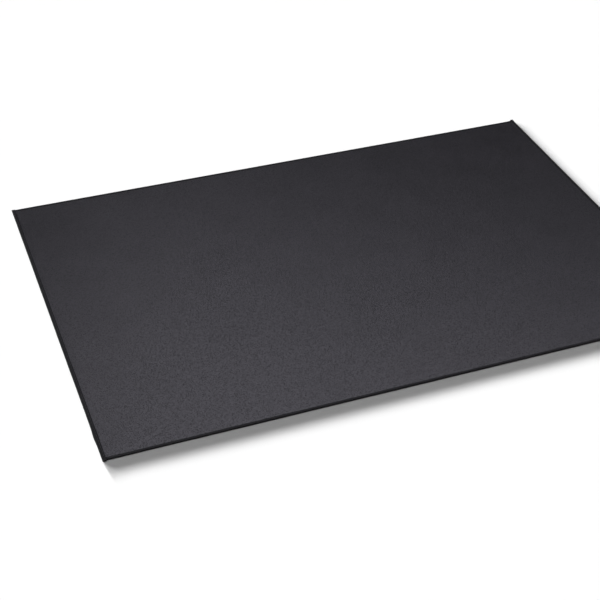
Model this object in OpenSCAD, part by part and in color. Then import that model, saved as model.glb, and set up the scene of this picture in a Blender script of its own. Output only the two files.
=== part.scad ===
// Self healing bench mat: five plies pressed into one sheet, its cut edge
// bound on all four sides with folded woven tape sewn through the sheet.
// Millimetres, +Z up. The origin is on the underside, at the middle of the
// mat. +X runs along the length, and the front edge faces -Y.

/* [Sheet] */
// Length of the mat, over the folds of the side bindings
mat_length = 900; // [600:10:1200]
// Depth of the mat, over the folds of the front and back bindings
mat_depth = 600; // [300:10:900]

/* [Plies] */
// Lower healing ply, which balances the upper one so that the sheet lies flat
lower_ply_t = 0.3; // [0.3:0.05:0.6]
// Stiff core that stops the blade
core_t = 0.4; // [0.4:0.05:0.8]
// Upper healing ply, which closes over a cut
upper_ply_t = 0.4; // [0.4:0.05:0.8]
// Grained skin that is the working surface
skin_t = 0.3; // [0.3:0.05:0.4]

/* [Binding] */
// How far the upper and lower flanges of a binding reach in, added together:
// the same on all four sides, because all are folded from tape of one width
flanges_w = 10; // [10:0.5:12]
// Thickness of the woven tape
tape_t = 0.3; // [0.25:0.05:0.35]
// Outside radius of the tape's fold round the edge
fold_r = 0.85; // [0.6:0.05:0.85]
// How far the side bindings reach in over the top of the sheet
side_flange = 5.0; // [4:0.1:5.2]
// How far the front and back bindings reach in over the top of the sheet
front_flange = 4.0; // [4:0.1:5.2]
// Layers of tape in the hemmed end of a side binding
hem_layers = 4; // [2:1:4]
// Length over which the tape steps up onto another layer
step_l = 0.5; // [0.3:0.1:1]
// How far the seam presses the skin down under the bindings
press_t = 0.1; // [0.05:0.05:0.15]

/* [Stitching] */
// Width of the sewing thread
thread_w = 0.35; // [0.25:0.05:0.5]
// How far the thread stands proud of the tape, or is pressed into it below
thread_h = 0.2; // [0.1:0.05:0.2]
// From the tape's cut edge to the middle of the seam
seam_inset = 1.2; // [0.8:0.1:1.5]

/* [Hidden] */
$fn = 48;
half_l = mat_length / 2;
half_d = mat_depth / 2;

// The backing is as thick as the two layers of tape that cross under a corner.
backing_t = 2 * tape_t;
lower_ply_z = backing_t;
core_z = lower_ply_z + lower_ply_t;
upper_ply_z = core_z + core_t;
skin_z = upper_ply_z + upper_ply_t;
sheet_top = skin_z + skin_t;
pressed_top = sheet_top - press_t;

// The plies stop where the tape's fold begins.
ply_half_l = half_l - fold_r;
ply_half_d = half_d - fold_r;

// The tape's upper face, along the sides and where two layers cross at a corner
tape_top = pressed_top + tape_t;
corner_top = pressed_top + 2 * tape_t;

// How far the bindings reach in under the sheet
side_under = flanges_w - side_flange;
front_under = flanges_w - front_flange;

// The bindings' inner edges on top, as distances from the mat's middle
side_edge = half_l - side_flange;
front_edge = half_d - front_flange;
// The same underneath
side_under_edge = half_l - side_under;
front_under_edge = half_d - front_under;

// The hemmed end stands past the fold of the binding that it closes over.
hem_t = hem_layers * tape_t;
side_half_d = half_d + hem_t;

// Where the seams run, as distances from the mat's middle
side_seam = side_edge + seam_inset;
front_seam = front_edge + seam_inset;
// The side seam ends this far inside the hemmed end.
seam_end = side_half_d - 2 * tape_t;
// The bobbin thread of the front and back seams ends before the step at the corner.
front_bobbin_end = side_under_edge - 2 * step_l;

skin_colour = [0.27, 0.27, 0.29];
healing_colour = [0.20, 0.20, 0.22];
core_colour = [0.55, 0.56, 0.57];
backing_colour = [0.13, 0.13, 0.14];
tape_colour = [0.08, 0.08, 0.09];
thread_colour = [0.05, 0.05, 0.05];

// A block centred on X and Y, between two heights
module block(half_x, half_y, low, high) {
    translate([-half_x, -half_y, low])
        cube([2 * half_x, 2 * half_y, high - low]);
}

// One ply of the sheet
module ply(low, high) {
    block(ply_half_l, ply_half_d, low, high);
}

// Section of a rounded edge: the fold at x = 0, open towards +x
module rounded_section(radius, start, reach, low, high) {
    translate([start + radius, low])
        square([reach - start - radius, high - low]);
    translate([start, low + radius])
        square([radius, high - low - 2 * radius]);
    for (z = [low + radius, high - radius])
        translate([start + radius, z])
            circle(r = radius);
}

// A length of that section along Y, centred on Y, with its fold at x = -edge
module edge_run(edge, half_run, radius, start, reach, low, high) {
    translate([-edge, half_run, 0])
        rotate([90, 0, 0])
            linear_extrude(height = 2 * half_run)
                rounded_section(radius, start, reach, low, high);
}

// The outside of folded tape: a solid bar as wide as the upper flange, and the
// lower flange
module tape_outside(edge, half_run, flange, under, low, high) {
    edge_run(edge, half_run, fold_r, 0, flange, low, high);
    translate([-edge + fold_r, -half_run, low])
        cube([under - fold_r, 2 * half_run, tape_t]);
}

// The space inside folded tape, running out past its cut edges
module tape_inside(edge, half_run, flange, low, high) {
    edge_run(edge, half_run, fold_r - tape_t, tape_t, 2 * flange, low + tape_t, high - tape_t);
}

// The part of a body beyond a distance from the middle, at both ends along Y
module both_ends(from, to) {
    intersection() {
        children();
        for (side = [-1, 1])
            translate([-mat_length, side > 0 ? from : -to, -1])
                cube([2 * mat_length, to - from, corner_top + 2]);
    }
}

// Tape folded over the left edge. Its ends climb onto the front and back
// bindings, close over their ends and are hemmed.
module side_tape() {
    difference() {
        union() {
            tape_outside(half_l, side_half_d, side_flange, side_under, 0, tape_top);
            both_ends(front_edge - step_l, side_half_d)
                tape_outside(half_l, side_half_d, side_flange, side_under, 0, corner_top);
        }
        tape_inside(half_l, half_d, side_flange, 0, tape_top);
        both_ends(front_edge, half_d)
            tape_inside(half_l, half_d, side_flange, 0, corner_top);
        bobbin_groove(side_seam, seam_end);
    }
}

// Tape folded over an edge at x = -half_d. Its ends step up inside the side
// bindings, off the surface that the mat lies on.
module front_tape() {
    difference() {
        union() {
            tape_outside(half_d, side_under_edge, front_flange, front_under, 0, tape_top);
            tape_outside(half_d, ply_half_l, front_flange, front_under, tape_t, tape_top);
        }
        tape_inside(half_d, side_under_edge - step_l, front_flange, 0, tape_top);
        tape_inside(half_d, ply_half_l, front_flange, tape_t, tape_top);
        bobbin_groove(front_seam, front_bobbin_end);
    }
}

// A straight run of thread along Y, at x = -seam
module thread_run(seam, half_run, low, high) {
    translate([-seam, 0, 0])
        block(thread_w / 2, half_run, low, high);
}

// The groove that the bobbin thread is pressed into
module bobbin_groove(seam, half_run) {
    thread_run(seam, half_run, -1, thread_h);
}

// Needle thread of a side seam, climbing with the tape near both ends
module side_needle() {
    climb = front_edge - step_l;
    thread_run(side_seam, climb, tape_top, tape_top + thread_h);
    for (side = [-1, 1])
        translate([-side_seam, side * climb, 0]) {
            translate([0, -side * thread_h / 2, 0])
                block(thread_w / 2, thread_h / 2, tape_top, corner_top + thread_h);
            translate([0, side * (seam_end - climb) / 2, 0])
                block(thread_w / 2, (seam_end - climb) / 2, corner_top, corner_top + thread_h);
            translate([0, -side * thread_h / 2, 0])
                block(thread_w / 2, thread_h, corner_top, corner_top + thread_h);
        }
}

// Turns a binding or thread from the left edge to the front edge
module to_front() {
    rotate([0, 0, 90])
        children();
}

// Puts a second one on the opposite edge
module opposite() {
    rotate([0, 0, 180])
        children();
}

// Full thickness where it shows, and pressed thinner under the bindings
module top_skin() {
    color(skin_colour)
        union() {
            block(side_edge, front_edge, skin_z, sheet_top);
            ply(skin_z, pressed_top);
        }
}

module upper_healing_ply() {
    color(healing_colour)
        ply(upper_ply_z, skin_z);
}

module stiff_core() {
    color(core_colour)
        ply(core_z, upper_ply_z);
}

module lower_healing_ply() {
    color(healing_colour)
        ply(lower_ply_z, core_z);
}

// Full thickness inside the bindings, thinner over their lower flanges, and
// cut away at the corners where the two layers of tape cross
module nonslip_backing() {
    color(backing_colour)
        union() {
            block(side_under_edge, front_under_edge, 0, backing_t);
            block(ply_half_l, front_under_edge, tape_t, backing_t);
            block(side_under_edge - step_l, ply_half_d, tape_t, backing_t);
        }
}

module left_binding() {
    color(tape_colour)
        side_tape();
}

module right_binding() {
    color(tape_colour)
        opposite()
            side_tape();
}

module front_binding() {
    color(tape_colour)
        to_front()
            front_tape();
}

module back_binding() {
    color(tape_colour)
        opposite()
            to_front()
                front_tape();
}

module left_needle_thread() {
    color(thread_colour)
        side_needle();
}

module right_needle_thread() {
    color(thread_colour)
        opposite()
            side_needle();
}

module front_needle_thread() {
    color(thread_colour)
        to_front()
            thread_run(front_seam, side_edge, tape_top, tape_top + thread_h);
}

module back_needle_thread() {
    color(thread_colour)
        opposite()
            to_front()
                thread_run(front_seam, side_edge, tape_top, tape_top + thread_h);
}

module left_bobbin_thread() {
    color(thread_colour)
        thread_run(side_seam, seam_end, 0, thread_h);
}

module right_bobbin_thread() {
    color(thread_colour)
        opposite()
            thread_run(side_seam, seam_end, 0, thread_h);
}

module front_bobbin_thread() {
    color(thread_colour)
        to_front()
            thread_run(front_seam, front_bobbin_end, 0, thread_h);
}

module back_bobbin_thread() {
    color(thread_colour)
        opposite()
            to_front()
                thread_run(front_seam, front_bobbin_end, 0, thread_h);
}

top_skin();
upper_healing_ply();
stiff_core();
lower_healing_ply();
nonslip_backing();
front_binding();
back_binding();
left_binding();
right_binding();
front_needle_thread();
back_needle_thread();
left_needle_thread();
right_needle_thread();
front_bobbin_thread();
back_bobbin_thread();
left_bobbin_thread();
right_bobbin_thread();
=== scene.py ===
"""Self healing bench mat: the looks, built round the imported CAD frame.

The working surface, the four folded tape bindings and the eight sewing threads
are meshes made here. The inner plies and the backing keep their CAD shape.
Lengths in the mesh code are millimetres, which new_piece() and make_floor() turn
into metres. Those of the materials, the camera and the lamps are metres.
"""

import math

import bpy
import numpy as np
from mathutils import Matrix, Vector


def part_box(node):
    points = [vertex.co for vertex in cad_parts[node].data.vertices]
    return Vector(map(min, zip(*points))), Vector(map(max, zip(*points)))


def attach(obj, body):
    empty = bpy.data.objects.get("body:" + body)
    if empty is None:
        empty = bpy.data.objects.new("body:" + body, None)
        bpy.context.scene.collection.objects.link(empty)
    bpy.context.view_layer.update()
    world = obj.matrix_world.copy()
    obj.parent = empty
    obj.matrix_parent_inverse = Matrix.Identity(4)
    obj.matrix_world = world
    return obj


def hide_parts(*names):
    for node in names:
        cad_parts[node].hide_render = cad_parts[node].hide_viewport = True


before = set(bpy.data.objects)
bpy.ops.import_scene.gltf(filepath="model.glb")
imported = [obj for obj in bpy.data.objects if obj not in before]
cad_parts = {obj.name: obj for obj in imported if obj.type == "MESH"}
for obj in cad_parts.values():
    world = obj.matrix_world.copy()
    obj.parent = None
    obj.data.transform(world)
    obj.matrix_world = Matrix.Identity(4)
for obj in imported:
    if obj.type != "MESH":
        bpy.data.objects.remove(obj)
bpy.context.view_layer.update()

MM = 0.001
BODY = "root"


# ---------------------------------------------------------------- sizes
def box_mm(node):
    """Lowest and highest corner of a CAD node, in millimetres."""
    low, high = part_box(node)
    return np.array(low) / MM, np.array(high) / MM


front_low, front_high = box_mm("front_binding")
left_low, left_high = box_mm("left_binding")
skin_low, skin_high = box_mm("top_skin")
front_seam_low, front_seam_high = box_mm("front_needle_thread")
left_seam_low, left_seam_high = box_mm("left_needle_thread")
core_high = box_mm("stiff_core")[1]
front_bobbin_high = box_mm("front_bobbin_thread")[1]

HALF_L = -left_low[0]
HALF_D = -front_low[1]
PLY_HALF_L, PLY_HALF_D = core_high[0], core_high[1]
FOLD_R = HALF_L - PLY_HALF_L
SKIN_Z, SHEET_TOP = skin_low[2], skin_high[2]
TAPE_TOP, CORNER_TOP = front_high[2], left_high[2]
TAPE_T = CORNER_TOP - TAPE_TOP
PRESSED_TOP = TAPE_TOP - TAPE_T
HEM_T = left_high[1] - HALF_D

# Where the seams run, measured inwards from the fold of their binding
FRONT_SEAM = HALF_D + (front_seam_low[1] + front_seam_high[1]) / 2
SIDE_SEAM = HALF_L + (left_seam_low[0] + left_seam_high[0]) / 2
# From the tape's cut edge, as drawn, to the middle of the seam
SEAM_INSET = 1.6
FRONT_FLANGE = FRONT_SEAM + SEAM_INSET
SIDE_FLANGE = SIDE_SEAM + SEAM_INSET
FRONT_UNDER = front_high[1] + HALF_D
SIDE_UNDER = left_high[0] + HALF_L
# Across the tape before it is folded: both flanges, the turns of the fold and what lies between them
TAPE_WIDTH = (
    FRONT_FLANGE + FRONT_UNDER - 2 * FOLD_R
    + math.pi * (FOLD_R - TAPE_T / 2)
    + TAPE_TOP - 2 * FOLD_R
)

# Sewing
STITCH = 3.0
THREAD_R = 0.17
# Rings of the tape's mesh within one stitch, as distances from its needle hole
STITCH_RINGS = (0.0, 0.5, 1.5, 2.5)
# Half width of the dimple round a needle hole
HOLE_WIDTH = 0.42
# Height of the needle thread's top above the CAD tape's
NEEDLE_PROUD = 0.15

# Seeds of the random wander of each edge's tape and of its threads. Both threads
# of an edge share one, because they pass through the same holes.
TAPE_SEEDS = {"front": 21, "back": 22, "left": 31, "right": 32}
THREAD_SEEDS = {"front": 21, "back": 20, "left": 20, "right": 21}

# The two ends of an edge
ENDS = (-1, 1)


# ---------------------------------------------------------------- helpers
def smoothstep(low, high, value):
    """0 below low, 1 above high, and a smooth rise between."""
    t = np.clip((value - low) / (high - low), 0, 1)
    return t * t * (3 - 2 * t)


def hump(centre, width, value):
    """A smooth hump of height 1."""
    return np.exp(-(((value - centre) / width) ** 2))


def wander(along, wavelength, seed):
    """A smooth random curve between about -1 and 1."""
    rng = np.random.default_rng(seed)
    start, end = along.min() - wavelength, along.max() + wavelength
    count = int((end - start) / wavelength) + 4
    knots = rng.uniform(-1, 1, count)
    place = (along - start) / wavelength
    cell = np.clip(place.astype(int), 0, count - 2)
    blend = (1 - np.cos(math.pi * (place - cell))) / 2
    return knots[cell] * (1 - blend) + knots[cell + 1] * blend


def new_piece(name, points, faces, material, node, attribute=None):
    """Makes a mesh from millimetre points, rides it on the mat and hides the CAD
    node that it stands for."""
    mesh = bpy.data.meshes.new(name)
    mesh.from_pydata((np.asarray(points) * MM).tolist(), [], faces)
    mesh.validate()
    if attribute is not None:
        layer = mesh.attributes.new("tape_plan", "FLOAT_VECTOR", "POINT")
        layer.data.foreach_set("vector", (np.asarray(attribute) * MM).astype(np.float32).ravel())
    mesh.shade_smooth()
    mesh.materials.append(material)
    piece = bpy.data.objects.new(name, mesh)
    bpy.context.scene.collection.objects.link(piece)
    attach(piece, BODY)
    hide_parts(node)
    return piece


# How many quarter turns take the front edge to each edge
TURNS = {"front": 0, "right": 1, "back": 2, "left": 3}


def on_edge(edge, along, inward, height):
    """Points of an edge: along it, inwards from its fold, and above the floor."""
    half = HALF_D if edge in ("front", "back") else HALF_L
    x, y = along, inward - half
    for _ in range(TURNS[edge]):
        x, y = -y, x
    return np.stack([x, y, np.broadcast_to(height, x.shape)], axis=-1)


# ---------------------------------------------------------------- materials
# Blender's wave texture has one band in this many units at a scale of 1.
WAVE_SCALE = math.pi / 10


class Painter:
    """A material with a Principled shader, and short ways to add nodes to it."""

    def __init__(self, name):
        self.material = bpy.data.materials.new(name)
        self.material.use_nodes = True
        self.tree = self.material.node_tree
        self.shader = self.tree.nodes["Principled BSDF"]

    def set(self, node, **values):
        """Sets or links input sockets. An underscore in a name stands for a space."""
        for name, value in values.items():
            socket = node.inputs[name.replace("_", " ")]
            if isinstance(value, bpy.types.NodeSocket):
                self.tree.links.new(value, socket)
            else:
                socket.default_value = value
        return node

    def add(self, kind, **values):
        return self.set(self.tree.nodes.new(kind), **values)

    def shade(self, **values):
        self.set(self.shader, **values)

    def place(self):
        return self.add("ShaderNodeTexCoord").outputs["Object"]

    def attribute(self, name):
        node = self.add("ShaderNodeAttribute")
        node.attribute_name = name
        return node.outputs["Vector"]

    def noise(self, vector, scale, detail=2.0, roughness=0.5):
        node = self.add("ShaderNodeTexNoise", Vector=vector, Scale=scale, Detail=detail, Roughness=roughness)
        return node.outputs["Fac"]

    def cells(self, vector, scale, randomness=1.0):
        """Distance to the nearest of many points, in units of their spacing."""
        node = self.add("ShaderNodeTexVoronoi", Vector=vector, Scale=scale, Randomness=randomness)
        return node.outputs["Distance"]

    def cell_value(self, vector, scale):
        """A random value for each small cell."""
        node = self.add("ShaderNodeTexVoronoi", Vector=vector, Scale=scale)
        split = self.add("ShaderNodeSeparateColor", Color=node.outputs["Color"])
        return split.outputs["Red"]

    def range(self, value, low, high, to_low, to_high):
        node = self.add(
            "ShaderNodeMapRange",
            Value=value,
            From_Min=low,
            From_Max=high,
            To_Min=to_low,
            To_Max=to_high,
        )
        return node.outputs["Result"]

    def maths(self, operation, first, second):
        node = self.add("ShaderNodeMath")
        node.operation = operation
        for socket, value in zip(node.inputs, (first, second)):
            if isinstance(value, bpy.types.NodeSocket):
                self.tree.links.new(value, socket)
            else:
                socket.default_value = value
        return node.outputs["Value"]

    def wave(self, vector, period, axis):
        """Ribs across one axis, with a period in metres."""
        node = self.add("ShaderNodeTexWave", Vector=vector, Scale=WAVE_SCALE / period)
        node.bands_direction = axis
        return node.outputs["Fac"]

    def ramp(self, value, dark, light):
        """A colour between two, by a value from 0 to 1."""
        node = self.add("ShaderNodeMix", Factor=value)
        node.data_type = "RGBA"
        colours = [socket for socket in node.inputs if socket.type == "RGBA"]
        for socket, colour in zip(colours, (dark, light)):
            socket.default_value = (*colour, 1)
        return [socket for socket in node.outputs if socket.type == "RGBA"][0]

    def bump(self, height, distance, normal=None):
        values = {"Height": height, "Distance": distance}
        if normal is not None:
            values["Normal"] = normal
        return self.add("ShaderNodeBump", **values).outputs["Normal"]


def skin_material():
    """Charcoal vinyl: satin and finely pebbled, with close-set matte pinholes whose colour is darkened as
    painted shade.
    """
    paint = Painter("skin")
    place = paint.place()
    pebble = paint.cell_value(place, 760)
    dome = paint.cells(place, 1500)
    pinhole = paint.range(paint.cells(place, 560, 0.9), 0.20, 0.42, 1, 0)
    fine = paint.noise(place, 1900, 2.0)
    patches = paint.noise(place, 14, 3.0)
    tone = paint.maths(
        "ADD",
        paint.maths("MULTIPLY", pebble, 0.6),
        paint.maths("MULTIPLY", patches, 0.4),
    )
    # Each pinhole darkens the colour to half: painted shade in the pits.
    pit_shaded_tone = paint.maths("MULTIPLY", tone, paint.range(pinhole, 0, 1, 1, 0.5))
    dullness = paint.maths("ADD", pinhole, paint.maths("MULTIPLY", patches, 0.05))
    pebbled = paint.bump(dome, -0.00006)
    pitted = paint.bump(pinhole, -0.00018, pebbled)
    paint.shade(
        # The base colour carries the painted shade of the pinholes.
        Base_Color=paint.ramp(pit_shaded_tone, (0.0004, 0.0004, 0.0007), (0.0300, 0.0290, 0.0310)),
        Roughness=paint.range(dullness, 0, 1, 0.32, 0.95),
        IOR=1.5,
        Normal=paint.bump(fine, 0.00003, pitted),
    )
    return paint.material


def tape_material():
    """Black woven tape: weft ribs across it and warp yarns along it. Its colour is lighter on the raised
    yarns and darker in their hollows as painted shade, with a random worn tone.
    """
    paint = Painter("tape")
    plan = paint.attribute("tape_plan")
    loose = paint.noise(plan, 400, 2.0)
    ribs = paint.wave(plan, 0.00055, "X")
    yarns = paint.wave(plan, 0.00042, "Y")
    weave = paint.maths("ADD", paint.maths("MULTIPLY", ribs, 0.65), paint.maths("MULTIPLY", yarns, 0.35))
    height = paint.maths("ADD", weave, paint.maths("MULTIPLY", loose, 0.5))
    worn = paint.noise(paint.place(), 60, 3.0)
    # The colour follows the weave's relief, which is painted shade in the hollows between the yarns, plus a
    # random worn tone.
    tone = paint.maths("MULTIPLY", paint.maths("ADD", weave, worn), 0.5)
    spread_tone = paint.range(tone, 0.2, 0.8, 0, 1)
    paint.shade(
        Base_Color=paint.ramp(spread_tone, (0.006, 0.006, 0.006), (0.017, 0.017, 0.017)),
        Roughness=paint.range(loose, 0.3, 0.7, 0.72, 0.84),
        Specular_IOR_Level=0.15,
        Sheen_Weight=0.12,
        Sheen_Roughness=0.35,
        Normal=paint.bump(height, 0.00005),
    )
    return paint.material


def thread_material():
    """Black polyester sewing thread: fine filaments in a slow twist."""
    paint = Painter("thread")
    place = paint.place()
    fibres = paint.noise(place, 9000, 2.0)
    shade = paint.noise(place, 700, 2.0)
    paint.shade(
        Base_Color=paint.ramp(shade, (0.006, 0.006, 0.006), (0.018, 0.018, 0.019)),
        Roughness=paint.range(fibres, 0.3, 0.7, 0.42, 0.58),
        Normal=paint.bump(fibres, 0.00001),
    )
    return paint.material


def ply_material(name, dark, light):
    """A pressed inner ply: dense vinyl with a faint mottle."""
    paint = Painter(name)
    place = paint.place()
    mottle = paint.noise(place, 180, 3.0)
    grit = paint.noise(place, 2400, 2.0)
    paint.shade(
        Base_Color=paint.ramp(paint.range(mottle, 0.3, 0.7, 0, 1), dark, light),
        Roughness=paint.range(grit, 0.3, 0.7, 0.5, 0.62),
        Normal=paint.bump(grit, 0.00001),
    )
    return paint.material


def backing_material():
    """Black foamed rubber with a pebbled, gripping face."""
    paint = Painter("backing")
    place = paint.place()
    pebbles = paint.cells(place, 420)
    pores = paint.noise(place, 3000, 2.0)
    dust = paint.noise(place, 25, 4.0)
    tone = paint.maths("MULTIPLY", paint.maths("ADD", pebbles, dust), 0.6)
    spread_tone = paint.range(tone, 0.2, 0.8, 0, 1)
    paint.shade(
        Base_Color=paint.ramp(spread_tone, (0.012, 0.012, 0.013), (0.03, 0.03, 0.032)),
        Roughness=paint.range(dust, 0.3, 0.7, 0.72, 0.86),
        Normal=paint.bump(pores, 0.00002, paint.bump(pebbles, -0.00025)),
    )
    return paint.material


# ---------------------------------------------------------------- working surface
# About how far apart the grid lines are in the middle of the surface
COARSE_STEP = 8
# Width over which the skin eases down to the tape's edge
SKIN_EASE = 1.8
# Wavelengths of the shallow waves in the surface, and the height of the longest
SWELL_WAVELENGTHS = (420, 290, 190, 150)
SWELL = 0.02


def graded(half, edge):
    """Grid lines from -half to half: close together beside the tape's edge, and
    coarse elsewhere."""
    # Half a millimetre apart from under the tape's edge to past the eased strip
    beside_tape = np.linspace(edge + 0.6, edge - 4.4, 11)
    fine = np.concatenate([[half, half - 2.2], beside_tape, [edge - 6.5, edge - 10]])
    inner = edge - 16
    coarse = np.linspace(-inner, inner, int(2 * inner / COARSE_STEP) + 1)
    return np.concatenate([-fine, coarse, fine[::-1]])


def shallow_waves(grid_x, grid_y):
    """A sum of long waves that cross the surface in random directions."""
    rng = np.random.default_rng(11)
    swell = np.zeros_like(grid_x)
    for wavelength in SWELL_WAVELENGTHS:
        turn = rng.uniform(0, math.pi)
        across = grid_x * math.cos(turn) + grid_y * math.sin(turn)
        wave = np.sin(2 * math.pi * (across / wavelength + rng.uniform()))
        swell += wave * wavelength / SWELL_WAVELENGTHS[0]
    return swell


def working_surface(material):
    """The skin: its top eases down to where the tape and its seam press it."""
    x = graded(PLY_HALF_L, HALF_L - SIDE_FLANGE)
    y = graded(PLY_HALF_D, HALF_D - FRONT_FLANGE)
    grid_x, grid_y = np.meshgrid(x, y, indexing="ij")
    inset_x = HALF_L - SIDE_FLANGE - np.abs(grid_x)
    inset_y = HALF_D - FRONT_FLANGE - np.abs(grid_y)
    pressed = 1 - smoothstep(0, SKIN_EASE, inset_x) * smoothstep(0, SKIN_EASE, inset_y)
    swell = shallow_waves(grid_x, grid_y)
    top = SHEET_TOP - (SHEET_TOP - PRESSED_TOP) * pressed + SWELL * swell * (1 - pressed)
    columns, rows = grid_x.shape
    upper = np.stack([grid_x, grid_y, top], axis=-1).reshape(-1, 3)
    lower = np.stack([grid_x, grid_y, np.full_like(top, SKIN_Z)], axis=-1).reshape(-1, 3)
    number = np.arange(columns * rows).reshape(columns, rows)
    a, b, c, d = number[:-1, :-1], number[1:, :-1], number[1:, 1:], number[:-1, 1:]
    faces = np.stack([a, b, c, d], axis=-1).reshape(-1, 4).tolist()
    below = columns * rows
    faces += (np.stack([a, d, c, b], axis=-1).reshape(-1, 4) + below).tolist()
    rim = np.concatenate([number[:, 0], number[-1, 1:], number[-2::-1, -1], number[0, -2:0:-1]])
    following = np.roll(rim, -1)
    faces += np.stack([rim, rim + below, following + below, following], axis=-1).tolist()
    return new_piece("working_surface", np.concatenate([upper, lower]), faces, material, "top_skin")


# ---------------------------------------------------------------- bindings
# Mesh points across the tape beside its seam, as distances from it
SEAM_POINTS = (0.6, 0.25, 0.0, -0.25, -0.6)
# Mesh points in each quarter turn of the fold
FOLD_ANGLES = np.radians([22.5, 45, 67.5])
# How far the upper flange settles between its fold and its cut edge
SETTLE = 0.16
# Depth and half width of the groove along the seam, and how much deeper a hole is
GROOVE_DEPTH = 0.04
GROOVE_WIDTH = 0.45
HOLE_DEPTH = 0.08
# How far the strip between the seam and the cut edge lifts again between holes
MARGIN_LIFT = 0.02
# Depth and half width of the groove underneath, where the bobbin thread lies
BOBBIN_DEPTH = 0.2
BOBBIN_WIDTH = 0.3
# Distance over which a bulge of the fold fades out across the tape
BULGE_FADE = 1.6
# How far the middle of the tape's cut edge stands out
CUT_EDGE_ROUND = 0.07
# Radius of the rounded end of a hem
HEM_ROUND = 0.65


def stitch_holes(half_run):
    """Needle holes of a seam, an even number of stitches centred on the edge."""
    half = int(half_run / STITCH)
    return np.arange(-half, half + 1) * STITCH


def at_hole(along):
    """1 at a needle hole, fading to 0 beside it."""
    distance = np.abs(along - STITCH * np.round(along / STITCH))
    return hump(0, HOLE_WIDTH, distance)


def tape_faces(rings, outer):
    """Quads of a swept closed section whose first half is the outer face, capped at
    both ends."""
    loop = 2 * outer + 2
    number = np.arange(rings * loop).reshape(rings, loop)
    here, after = number[:-1], number[1:]
    faces = np.stack([here, np.roll(here, -1, 1), np.roll(after, -1, 1), after], axis=-1)
    faces = faces.reshape(-1, 4).tolist()
    for ring, forward in ((number[0], False), (number[-1], True)):
        face_points = ring[1:1 + outer]
        inner_points = ring[2 + outer:][::-1]
        cap = [[ring[0], face_points[0], inner_points[0]]]
        cap += [
            [face_points[i], face_points[i + 1], inner_points[i + 1], inner_points[i]]
            for i in range(outer - 1)
        ]
        cap += [[face_points[-1], ring[1 + outer], inner_points[-1]]]
        faces += [[int(p) for p in (f if forward else f[::-1])] for f in cap]
    return faces


def folded_section(radius, start, under, reach, seam, low, high):
    """One face of folded tape, from the lower cut edge round the fold to the upper
    one, as inward and height arrays of shape (rings, points)."""
    ones = np.ones_like(low)
    near_seam = [(seam + offset) * ones for offset in SEAM_POINTS]
    fold_end = (start + radius) * ones
    lower = [under, *near_seam, fold_end]
    upper = [fold_end, *near_seam[::-1], reach]
    inward = list(lower)
    height = [low] * len(lower)
    for angle in FOLD_ANGLES:
        inward.append((start + radius * (1 - math.sin(angle))) * ones)
        height.append(low + radius * (1 - math.cos(angle)))
    for level in (low + radius, high - radius):
        inward.append(start * ones)
        height.append(level)
    for angle in FOLD_ANGLES[::-1]:
        inward.append((start + radius * (1 - math.sin(angle))) * ones)
        height.append(high - radius * (1 - math.cos(angle)))
    inward += upper
    height += [high] * len(upper)
    return np.stack(inward, 1), np.stack(height, 1)


def sewn_down(u, z, seam, hole):
    """Heights of the tape's outer face once the seam has pulled it in, most of all at
    each needle hole."""
    points = u.shape[1]
    upper = np.arange(points) >= points // 2
    groove = hump(seam, GROOVE_WIDTH, u)
    margin = smoothstep(seam, seam + SEAM_INSET, u)
    settle = SETTLE * smoothstep(FOLD_R, seam + SEAM_INSET, u)
    return np.where(
        upper,
        z - settle - groove * (GROOVE_DEPTH + HOLE_DEPTH * hole) + MARGIN_LIFT * margin * (1 - hole),
        z + BOBBIN_DEPTH * hump(seam, BOBBIN_WIDTH, u) * (1 + 0.3 * hole),
    )


def hemmed_end(s, u, z, along, reach, low, high, begin, stop, side):
    """Rounds off the end of a hem. Its two folded layers show as two soft lobes."""
    depth = np.clip(side * along - (stop - HEM_ROUND), 0, HEM_ROUND)
    inset = (HEM_ROUND - np.sqrt(HEM_ROUND**2 - depth**2))[:, None]
    middle_u = (reach / 2)[:, None]
    middle_z = ((low + high) / 2)[:, None]
    u = middle_u + np.sign(u - middle_u) * np.clip(np.abs(u - middle_u) - inset, 0, None)
    z = middle_z + np.sign(z - middle_z) * np.clip(np.abs(z - middle_z) - 0.8 * inset, 0, None)
    late = smoothstep(begin, stop, side * along)[:, None]
    lobes = hump(1.4, 1.1, u) + 0.7 * hump(4.0, 0.8, u) - 0.6
    return s + side * 0.35 * late * lobes, u, z


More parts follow.
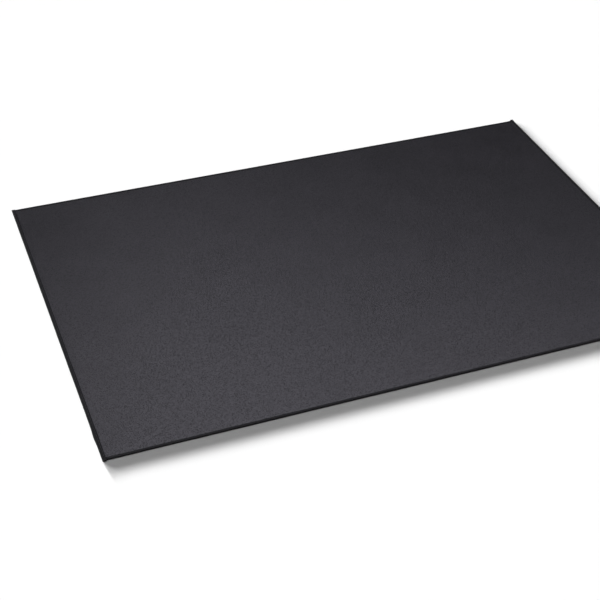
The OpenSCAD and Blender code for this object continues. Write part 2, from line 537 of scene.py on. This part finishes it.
def binding(edge, along, under, reach, seam, low, high, bulge, material, hems=None):
    """Tape folded over an edge. under, reach, low, high and bulge are given at each
    ring. hems holds where the closed end begins and stops, for both ends."""
    hole = at_hole(along)[:, None]
    outer_u, outer_z = folded_section(FOLD_R, 0, under, reach, seam, low, high)
    inner_u, inner_z = folded_section(
        FOLD_R - TAPE_T, TAPE_T, under, reach, seam, low + TAPE_T, high - TAPE_T
    )
    points = outer_u.shape[1]
    across = np.concatenate([[0], np.cumsum(np.hypot(np.diff(outer_u[0]), np.diff(outer_z[0])))])
    outer_z = sewn_down(outer_u, outer_z, seam, hole)
    # The fold isn't perfectly straight.
    sway = bulge[:, None]
    outer_u = outer_u - sway * np.exp(-np.clip(outer_u, 0, None) / BULGE_FADE)
    inner_u = inner_u - sway * np.exp(-np.clip(inner_u, 0, None) / BULGE_FADE)

    if hems is not None:
        # Past the place where a hem begins, the inner face closes up.
        closed = np.zeros(len(along), bool)
        for (begin, stop), side in zip(hems, ENDS):
            closed |= side * along > begin
        share = np.linspace(0.04, 0.96, points)
        mouth_u = under[:, None] * (1 - share) + reach[:, None] * share - 0.05
        mouth_z = low[:, None] * (1 - share) + high[:, None] * share
        inner_u = np.where(closed[:, None], mouth_u, inner_u)
        inner_z = np.where(closed[:, None], mouth_z, inner_z)

    tip_u = np.stack([outer_u[:, 0], outer_u[:, -1]], 1) + CUT_EDGE_ROUND
    tip_z = np.stack([(outer_z[:, i] + inner_z[:, i]) / 2 for i in (0, -1)], 1)
    u = np.concatenate([tip_u[:, :1], outer_u, tip_u[:, 1:], inner_u[:, ::-1]], 1)
    z = np.concatenate([tip_z[:, :1], outer_z, tip_z[:, 1:], inner_z[:, ::-1]], 1)
    s = np.repeat(along[:, None], u.shape[1], 1)
    if hems is not None:
        for (begin, stop), side in zip(hems, ENDS):
            s, u, z = hemmed_end(s, u, z, along, reach, low, high, begin, stop, side)

    crossing = np.concatenate([[0], across, [across[-1]], across[::-1]])
    plan = np.stack([s, np.broadcast_to(crossing, s.shape), np.zeros_like(s)], -1).reshape(-1, 3)
    places = on_edge(edge, s, u, z).reshape(-1, 3)
    name = f"{edge}_tape_binding"
    return new_piece(name, places, tape_faces(len(along), points), material, f"{edge}_binding", plan)


def stitched_rings(half_run):
    """Ring places along a seam: each needle hole and three between."""
    holes = stitch_holes(half_run)
    places = (holes[:, None] + np.array(STITCH_RINGS)).ravel()
    return places[places < half_run - 0.2]


def uneven_tape(edge, along, flange, under_flange):
    """How far a binding reaches in above and below, and how far its fold stands out.
    Each wanders by a height over a wavelength, and the upper edge dips at each hole."""
    seed = TAPE_SEEDS[edge]
    reach = flange + 0.12 * wander(along, 23, seed) - 0.05 * at_hole(along)
    under = under_flange + 0.15 * wander(along, 31, seed + 10)
    bulge = 0.1 * wander(along, 70, seed + 20) + 0.06 * wander(along, 14, seed + 30)
    return reach, under, bulge


def side_height(edge, along, level):
    """A level on top of a side binding. It climbs with the tape onto the front and
    back bindings, and a little more at the right binding's back end."""
    crossing = HALF_D - FRONT_FLANGE
    height = level + TAPE_T * smoothstep(crossing - 1.2, crossing + 0.1, np.abs(along))
    if edge == "right":
        height += 0.35 * smoothstep(HALF_D - 8, HALF_D, along)
    return height


def long_binding(edge, material):
    """Front or back binding. Its ends tuck in under the side bindings."""
    tuck = HALF_L - SIDE_UNDER
    step = tuck - 0.8
    ends = np.array([step, tuck - 0.4, tuck, tuck + 1.5, PLY_HALF_L])
    along = np.unique(np.concatenate([-ends, stitched_rings(tuck - 2), ends]))
    reach, under, bulge = uneven_tape(edge, along, FRONT_FLANGE, FRONT_UNDER)
    low = TAPE_T * smoothstep(step, tuck, np.abs(along))
    high = np.full_like(along, TAPE_TOP)
    if edge == "back":
        # The back edge is drawn in near its left corner and stands out at its right one.
        bulge += 0.7 * smoothstep(16 - HALF_L, 3 - HALF_L, along)
        bulge -= 0.35 * smoothstep(HALF_L - 16, HALF_L - 13, along)
    bulge = np.where(np.abs(along) > tuck, np.minimum(bulge, 0.0), bulge)
    return binding(edge, along, under, reach, FRONT_SEAM, low, high, bulge, material)


def side_binding(edge, material):
    """Left or right binding. Its hemmed ends close over the ends of the front and
    back bindings."""
    closing = HALF_D + 0.05
    # Where each hem begins and where it stops: the first is at the negative end along the edge.
    hems = {
        "left": ((HALF_D - 0.1, HALF_D + 0.6), (closing, HALF_D + HEM_T + 0.1)),
        "right": ((closing, HALF_D + HEM_T), (closing, HALF_D + HEM_T + 1.2)),
    }[edge]
    places = [stitched_rings(HALF_D - 1)]
    for (begin, stop), side in zip(hems, ENDS):
        final = [begin - 0.06, begin] + [stop - d for d in (0.6, 0.4, 0.2, 0.08, 0.0)]
        places.append(side * np.array(final))
    along = np.unique(np.round(np.concatenate(places), 6))
    reach, under, bulge = uneven_tape(edge, along, SIDE_FLANGE, SIDE_UNDER)
    low = np.zeros_like(along)
    high = side_height(edge, along, TAPE_TOP)
    if edge == "left":
        # Near its front end the left binding bulges, and its upper flange with it.
        pucker = hump(HALF_D - 45, 13, along)
        bulge += 0.7 * pucker
        reach += 0.35 * pucker
    return binding(edge, along, under, reach, SIDE_SEAM, low, high, bulge, material, hems)


# ---------------------------------------------------------------- threads
# Mesh rings in one stitch, and the length of one turn of the thread's twist
RINGS_PER_STITCH = 9
TWIST = 1.1
# How far a thread dips into its holes
DIP = 0.42
# Plies of a thread, mesh points round each, and how deep the furrows between plies
# are, as half a share of the thread's radius
PLIES = 3
POINTS_PER_PLY = 3
FURROW = 0.14


def sewn_thread(edge, kind, seam, half_run, face, level, material):
    """Three-ply thread of a lockstitch seam. face is 1 for the needle thread on top
    and -1 for the bobbin thread. level gives the height of the thread's middle
    between holes."""
    holes = stitch_holes(half_run)
    along = np.linspace(holes[0], holes[-1], (len(holes) - 1) * RINGS_PER_STITCH + 1)
    phase = (along - holes[0]) / STITCH % 1.0
    phase[-1] = 1.0
    from_hole = np.minimum(phase, 1 - phase)
    sink = DIP * np.exp(-(from_hole / 0.09) ** 1.5)
    slant = 0.05 * (phase - 0.5) * (1 - np.exp(-(from_hole / 0.08) ** 2))
    inward = seam + slant + 0.05 * wander(along, 40, THREAD_SEEDS[edge])
    height = level(along) - face * sink
    around = np.linspace(0, 2 * math.pi, PLIES * POINTS_PER_PLY, endpoint=False)
    twist = 2 * math.pi * along / TWIST
    angle = around[None, :] + twist[:, None]
    radius = THREAD_R * (1 - FURROW + FURROW * np.cos(PLIES * around))[None, :]
    u = inward[:, None] + radius * np.cos(angle)
    z = height[:, None] + radius * np.sin(angle)
    s = np.repeat(along[:, None], len(around), 1)
    points = on_edge(edge, s, u, z).reshape(-1, 3)
    number = np.arange(len(points)).reshape(s.shape)
    here, after = number[:-1], number[1:]
    faces = np.stack([here, after, np.roll(after, -1, 1), np.roll(here, -1, 1)], -1)
    faces = faces.reshape(-1, 4).tolist()
    faces += [number[0].tolist(), number[-1][::-1].tolist()]
    return new_piece(f"{edge}_{kind}_stitches", points, faces, material, f"{edge}_{kind}_thread")


def needle_level(edge):
    """Height of the needle thread's middle: it follows the tape up at the corners."""
    base = TAPE_TOP + NEEDLE_PROUD - THREAD_R

    def level(along):
        if edge in ("front", "back"):
            return np.full_like(along, base)
        return side_height(edge, along, base)

    return level


def bobbin_level(along):
    """Height of the bobbin thread's middle, in the tape's groove."""
    return np.full_like(along, THREAD_R + 0.01)


def sew(edge, material):
    """Both threads of one seam."""
    long_edge = edge in ("front", "back")
    seam = FRONT_SEAM if long_edge else SIDE_SEAM
    needle_run = front_seam_high[0] if long_edge else left_seam_high[1]
    bobbin_run = front_bobbin_high[0] if long_edge else left_seam_high[1]
    return [
        sewn_thread(edge, "needle", seam, needle_run, 1, needle_level(edge), material),
        sewn_thread(edge, "bobbin", seam, bobbin_run, -1, bobbin_level, material),
    ]


# ---------------------------------------------------------------- camera, light and floor
# In metres. The lens is in millimetres, and the shift is a share of the picture's width.
CAMERA_PLACE = Vector((-0.6537, -1.4878, 1.1636))
CAMERA_TARGET = Vector((-0.0775, -0.0763, 0.0))
CAMERA_ROLL = math.radians(-1.774)
CAMERA_LENS = 78.473
CAMERA_SHIFT = -0.025

# How far the floor reaches from the mat's middle and lies below its underside, in
# millimetres, and the mean share of light that it reflects
FLOOR_HALF = 8000.0
FLOOR_GAP = 0.02
FLOOR_TONE = 0.8

# Lamps in the fan of low light, then in millimetres the height of the edge that casts
# their shadows, the shadows' mean length and how much the lengths scatter
LOW_SUNS = 13
EDGE_HEIGHT = 2.1
SHADOW_LENGTH = 27.5
SHADOW_SCATTER = 6.9
# Heading of the fan's first lamp and the fan's width, in degrees, and how strongly the
# lamps crowd towards the first
FAN_START = 174
FAN_WIDTH = 37
FAN_CROWDING = 3.1
# Each lamp's spread, as a share of its elevation
SUN_SPREAD = 0.35
# Brightness that the fan and the fill give the floor
FAN_LEVEL = 0.78
FILL_LEVEL = 0.22


def make_camera():
    data = bpy.data.cameras.new("camera")
    data.lens = CAMERA_LENS
    data.shift_x = CAMERA_SHIFT
    camera = bpy.data.objects.new("camera", data)
    bpy.context.scene.collection.objects.link(camera)
    ahead = (CAMERA_TARGET - CAMERA_PLACE).normalized()
    right = ahead.cross(Vector((0, 0, 1))).normalized()
    down = ahead.cross(right)
    turned_right = right * math.cos(CAMERA_ROLL) + down * math.sin(CAMERA_ROLL)
    turned_down = down * math.cos(CAMERA_ROLL) - right * math.sin(CAMERA_ROLL)
    axes = Matrix((turned_right, -turned_down, -ahead)).transposed()
    camera.matrix_world = Matrix.Translation(CAMERA_PLACE) @ axes.to_4x4()
    bpy.context.scene.camera = camera


def make_floor():
    """A plain pale floor, with a faint unevenness of tone."""
    steps = np.linspace(-FLOOR_HALF, FLOOR_HALF, 9)
    grid_x, grid_y = np.meshgrid(steps, steps, indexing="ij")
    points = np.stack([grid_x, grid_y, np.full_like(grid_x, -FLOOR_GAP)], -1).reshape(-1, 3) * MM
    number = np.arange(grid_x.size).reshape(grid_x.shape)
    faces = np.stack([number[:-1, :-1], number[1:, :-1], number[1:, 1:], number[:-1, 1:]], -1)
    mesh = bpy.data.meshes.new("floor")
    mesh.from_pydata(points.tolist(), [], faces.reshape(-1, 4).tolist())
    paint = Painter("floor")
    tone = paint.noise(paint.place(), 3, 2.0)
    paint.shade(
        Base_Color=paint.ramp(tone, (FLOOR_TONE - 0.01,) * 3, (FLOOR_TONE + 0.01,) * 3),
        Roughness=0.9,
        Specular_IOR_Level=0.0,
    )
    mesh.materials.append(paint.material)
    floor = bpy.data.objects.new("floor", mesh)
    bpy.context.scene.collection.objects.link(floor)
    return floor


def link_light(lamp, floor, state):
    """Makes a lamp light only the floor (INCLUDE) or everything else (EXCLUDE)."""
    group = bpy.data.collections.new(f"{lamp.name}_receivers")
    group.objects.link(floor)
    group.collection_objects[0].light_linking.link_state = state
    lamp.light_linking.receiver_collection = group


def aim(lamp, direction):
    lamp.rotation_mode = "QUATERNION"
    lamp.rotation_quaternion = direction.to_track_quat("-Z", "Y")


def around(azimuth, elevation, distance):
    """A place seen from the mat's middle: azimuth from +Y towards +X, in radians."""
    return distance * Vector(
        (
            math.sin(azimuth) * math.cos(elevation),
            math.cos(azimuth) * math.cos(elevation),
            math.sin(elevation),
        )
    )


def make_panel(name, place, width, height, watts, colour, floor):
    """A rectangular lamp that faces the mat's middle and leaves the floor dark."""
    data = bpy.data.lights.new(name, "AREA")
    data.shape = "RECTANGLE"
    data.size, data.size_y = width, height
    data.energy = watts
    data.color = colour
    lamp = bpy.data.objects.new(name, data)
    bpy.context.scene.collection.objects.link(lamp)
    lamp.location = place
    aim(lamp, -lamp.location)
    lamp.visible_camera = False
    link_light(lamp, floor, "EXCLUDE")


def make_panels(floor):
    """A large softbox nearly overhead, a little behind the mat's middle and to its
    right, and a strip low down on the left that picks out the left fold."""
    softbox_place = around(0.635, 1.382, 1.64)
    make_panel("softbox", softbox_place, 2.28, 2.64, 34.0, (0.975, 0.945, 1.08), floor)
    make_panel("side_fill", Vector((-1.7, 0.1, 0.17)), 1.6, 0.3, 36.0, (1, 1, 1), floor)


def make_floor_sun(name, heading, elevation, spread, level, floor):
    """A distant lamp for the floor alone, with its angles in degrees. level is the
    brightness that it gives a floor of this tone."""
    data = bpy.data.lights.new(name, "SUN")
    data.angle = math.radians(spread)
    data.energy = level * math.pi / FLOOR_TONE / math.sin(math.radians(elevation))
    lamp = bpy.data.objects.new(name, data)
    bpy.context.scene.collection.objects.link(lamp)
    flat = Vector((math.sin(math.radians(heading)), math.cos(math.radians(heading)), 0))
    aim(lamp, flat * math.cos(math.radians(elevation)) - Vector((0, 0, math.sin(math.radians(elevation)))))
    link_light(lamp, floor, "INCLUDE")


def inverse_erf(value):
    """Winitzki's formula for the inverse error function."""
    a = 0.147
    log = math.log(1 - value * value)
    first = 2 / (math.pi * a) + log / 2
    return math.copysign(math.sqrt(math.sqrt(first * first - log / a) - first), value)


def make_low_suns(floor):
    """Low light from behind: a fan of lamps, most of them close together, which
    spreads thinly towards the left. The lengths of the shadows follow a bell curve,
    so that together they fade softly."""
    level = FAN_LEVEL / LOW_SUNS
    for index in range(LOW_SUNS):
        share = (index + 0.5) / LOW_SUNS
        length = SHADOW_LENGTH + SHADOW_SCATTER * math.sqrt(2) * inverse_erf(2 * share - 1)
        elevation = math.degrees(math.atan(EDGE_HEIGHT / length))
        # Steps of five mix long and short shadows over the whole fan.
        turn = (index * 5 % LOW_SUNS + 0.5) / LOW_SUNS
        heading = FAN_START - FAN_WIDTH * turn**FAN_CROWDING
        make_floor_sun(f"low_sun_{index}", heading, elevation, SUN_SPREAD * elevation, level, floor)


def make_world():
    """Nearly dark all round, so that the lamps light the mat, and pale where the
    camera looks past the floor."""
    world = bpy.data.worlds.new("studio")
    world.use_nodes = True
    tree = world.node_tree
    tree.nodes.clear()
    output = tree.nodes.new("ShaderNodeOutputWorld")
    mix = tree.nodes.new("ShaderNodeMixShader")
    path = tree.nodes.new("ShaderNodeLightPath")
    dim, pale = tree.nodes.new("ShaderNodeBackground"), tree.nodes.new("ShaderNodeBackground")
    dim.inputs["Color"].default_value = (0.02, 0.02, 0.02, 1)
    pale.inputs["Color"].default_value = (0.95, 0.95, 0.95, 1)
    tree.links.new(path.outputs["Is Camera Ray"], mix.inputs[0])
    tree.links.new(dim.outputs[0], mix.inputs[1])
    tree.links.new(pale.outputs[0], mix.inputs[2])
    tree.links.new(mix.outputs[0], output.inputs[0])
    bpy.context.scene.world = world


def make_stage():
    floor = make_floor()
    make_panels(floor)
    make_low_suns(floor)
    make_floor_sun("floor_fill", 163, 80, 60, FILL_LEVEL, floor)
    make_world()
    bpy.context.scene.view_settings.view_transform = "Standard"


# ---------------------------------------------------------------- the mat
def assign(node, material):
    """Gives a CAD node that stays in view its material."""
    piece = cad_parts[node]
    piece.data.materials.clear()
    piece.data.materials.append(material)


# Tape folded into each hemmed end, in thicknesses of the hem
HEM_FOLDS = 4


def build_mat():
    skin, tape, thread = skin_material(), tape_material(), thread_material()
    healing = ply_material("healing_ply", (0.022, 0.022, 0.025), (0.034, 0.034, 0.038))
    assign("upper_healing_ply", healing)
    assign("lower_healing_ply", healing)
    assign("stiff_core", ply_material("core", (0.23, 0.235, 0.24), (0.29, 0.295, 0.30)))
    assign("nonslip_backing", backing_material())
    surface = working_surface(skin)
    long_flat = (TAPE_WIDTH * MM, 2 * PLY_HALF_L * MM)
    side_flat = (TAPE_WIDTH * MM, (2 * HALF_D + 2 * HEM_FOLDS * HEM_T) * MM)
    for edge in TURNS:
        if edge in ("front", "back"):
            piece, flat = long_binding(edge, tape), long_flat
        else:
            piece, flat = side_binding(edge, tape), side_flat
        threads = sew(edge, thread)


make_camera()
build_mat()
make_stage()
